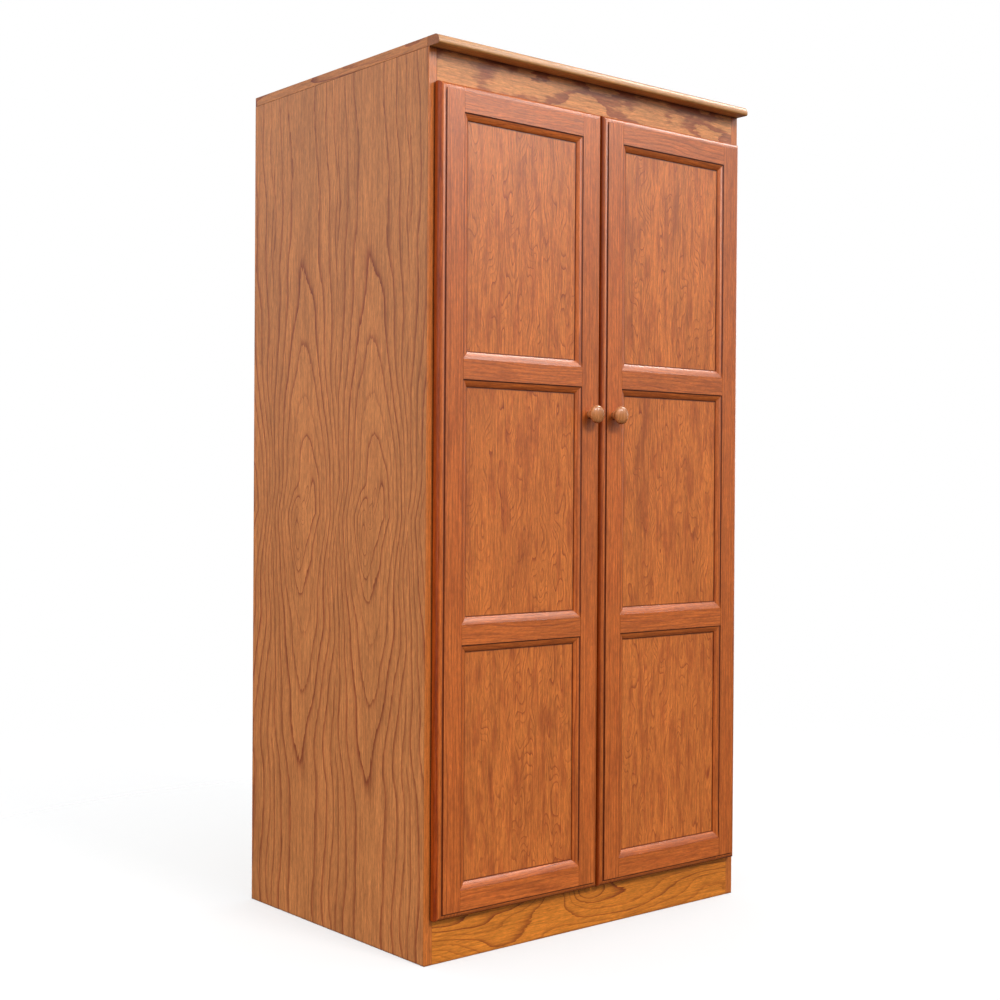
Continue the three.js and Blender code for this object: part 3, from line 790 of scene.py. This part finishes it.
def camera():
    """The camera looks along yaw and pitch, turned about that line by roll."""
    data = bpy.data.cameras.new("camera")
    data.lens = CAMERA_LENS
    seen = bpy.data.objects.new("camera", data)
    yaw, pitch, roll = (math.radians(a) for a in (CAMERA_YAW, CAMERA_PITCH, CAMERA_ROLL))
    forward = Vector((math.sin(yaw) * math.cos(pitch), math.cos(yaw) * math.cos(pitch), math.sin(pitch)))
    level = Vector((math.cos(yaw), -math.sin(yaw), 0.0))
    upright = level.cross(forward)
    right = level * math.cos(roll) + upright * math.sin(roll)
    up = upright * math.cos(roll) - level * math.sin(roll)
    turn = Matrix((right, up, -forward)).transposed().to_4x4()
    seen.matrix_world = Matrix.Translation(CAMERA_PLACE) @ turn
    bpy.context.collection.objects.link(seen)
    bpy.context.scene.camera = seen


# ---- Studio ----

WHITE = (1.0, 1.0, 1.0)
DOME_TINT = (0.94, 0.97, 1.0)
COOL = (0.93, 0.96, 1.0)
DAYLIGHT = (1.0, 0.99, 0.98)
CREAM = (1.0, 0.98, 0.94)
WARM = (1.0, 0.97, 0.93)
SIDE_LIGHT = (1.0, 0.99, 0.97)
FLOOR_RADIUS = 9.0
FLOOR_GAP = 0.5 * MM
PAPER = (0.90, 0.90, 0.90, 1.0)
# The share of background that shows through the paper, near the object and far out, and where.
FADE_FROM = 0.6
FADE_TO = 3.0
CLEAR_NEAR = 0.55
CLEAR_FAR = 1.0
# The dome's strength near the ground and higher up, and the heights that it changes between, as
# the upward share of the direction looked in.
DOME_LOW = 0.08
DOME_HIGH = 0.90
DOME_FROM = -0.05
DOME_TO = 0.24


def soft_light(name, place, size, power, colour, diffuse=True, glossy=True, spread=180.0):
    """A round softbox that faces the middle of the object. It can be left out of the matt light
    or of the reflections, and its light can be gathered into a cone of spread degrees."""
    centre = (cad_low + cad_high) / 2
    data = bpy.data.lights.new(name, "AREA")
    data.shape = "DISK"
    data.size = size
    data.energy = power
    data.color = colour
    data.spread = math.radians(spread)
    lamp = bpy.data.objects.new(name, data)
    lamp.location = place
    lamp.rotation_euler = (centre - Vector(place)).to_track_quat("-Z", "Y").to_euler()
    lamp.visible_diffuse = diffuse
    lamp.visible_glossy = glossy
    bpy.context.collection.objects.link(lamp)


def lamps():
    # A far key and a faint lamp above light the doors alike from top to bottom.
    soft_light("key", (1.4, -13.0, 11.2), 4.8, 1310, DAYLIGHT)
    soft_light("overhead", (-1.4, -2.3, 4.3), 1.8, 10, COOL)
    # The left side has a lamp of its own, kept off the doors' gloss.
    soft_light("fill", (-3.5, -0.4, 0.85), 2.2, 18.5, CREAM, glossy=False, spread=110.0)
    # Seen only as gloss: a veil over the tops of the doors, and lines on mouldings that face up.
    soft_light("sheen", (3.0, -4.15, 3.85), 1.7, 96, WARM, diffuse=False)
    soft_light("crest", (3.2, -1.2, 4.6), 1.4, 110, WARM, diffuse=False)
    # These two mostly serve views of the right side and the back.
    soft_light("right", (4.6, 0.5, 1.4), 2.4, 55, SIDE_LIGHT)
    soft_light("behind", (-0.6, 5.2, 1.6), 2.4, 70, SIDE_LIGHT, glossy=False)


def sky():
    """White to the camera, and to the object a pale dome that darkens towards the floor."""
    scene = bpy.context.scene
    scene.view_settings.view_transform = "Standard"
    world = bpy.data.worlds.new("studio")
    scene.world = world
    world.use_nodes = True
    g = Shader(world.node_tree)
    upwards = g.split(g.add("ShaderNodeTexCoord").outputs["Generated"])[2]
    dome = g.remap(upwards, DOME_FROM, DOME_TO, DOME_LOW, DOME_HIGH, smooth=True)
    seen = g.add("ShaderNodeLightPath").outputs["Is Camera Ray"]
    strength = g.math("MAXIMUM", seen, dome)
    colour = g.mix(seen, (*DOME_TINT, 1.0), (*WHITE, 1.0))
    background = g.add("ShaderNodeBackground", {"Color": colour, "Strength": strength})
    g.add("ShaderNodeOutputWorld", {"Surface": background.outputs[0]})


def floor():
    """Pale paper that fades into the background a few metres out."""
    mesh = bpy.data.meshes.new("floor")
    b = bmesh.new()
    bmesh.ops.create_circle(b, cap_ends=True, segments=64, radius=FLOOR_RADIUS)
    b.to_mesh(mesh)
    b.free()
    paper = bpy.data.objects.new("floor", mesh)
    paper.location.z = -FLOOR_GAP
    paper.visible_glossy = False
    paper.visible_diffuse = False
    bpy.context.collection.objects.link(paper)
    material, g = new_material("floor_paper")
    place = g.add("ShaderNodeTexCoord").outputs["Object"]
    distance = g.add("ShaderNodeVectorMath", {0: place}, operation="LENGTH").outputs["Value"]
    matt = g.add("ShaderNodeBsdfDiffuse", {"Color": PAPER})
    clear = g.add("ShaderNodeBsdfTransparent")
    fade = g.remap(distance, FADE_FROM, FADE_TO, CLEAR_NEAR, CLEAR_FAR, smooth=True)
    mixed = g.add("ShaderNodeMixShader", {0: fade, 1: matt.outputs[0], 2: clear.outputs[0]})
    g.add("ShaderNodeOutputMaterial", {"Surface": mixed.outputs[0]})
    mesh.materials.append(material)


oak_carcass()
oak_doors()
oak_inside()
turned_knobs()
hardware()
ease_edges()
camera()
lamps()
sky()
floor()
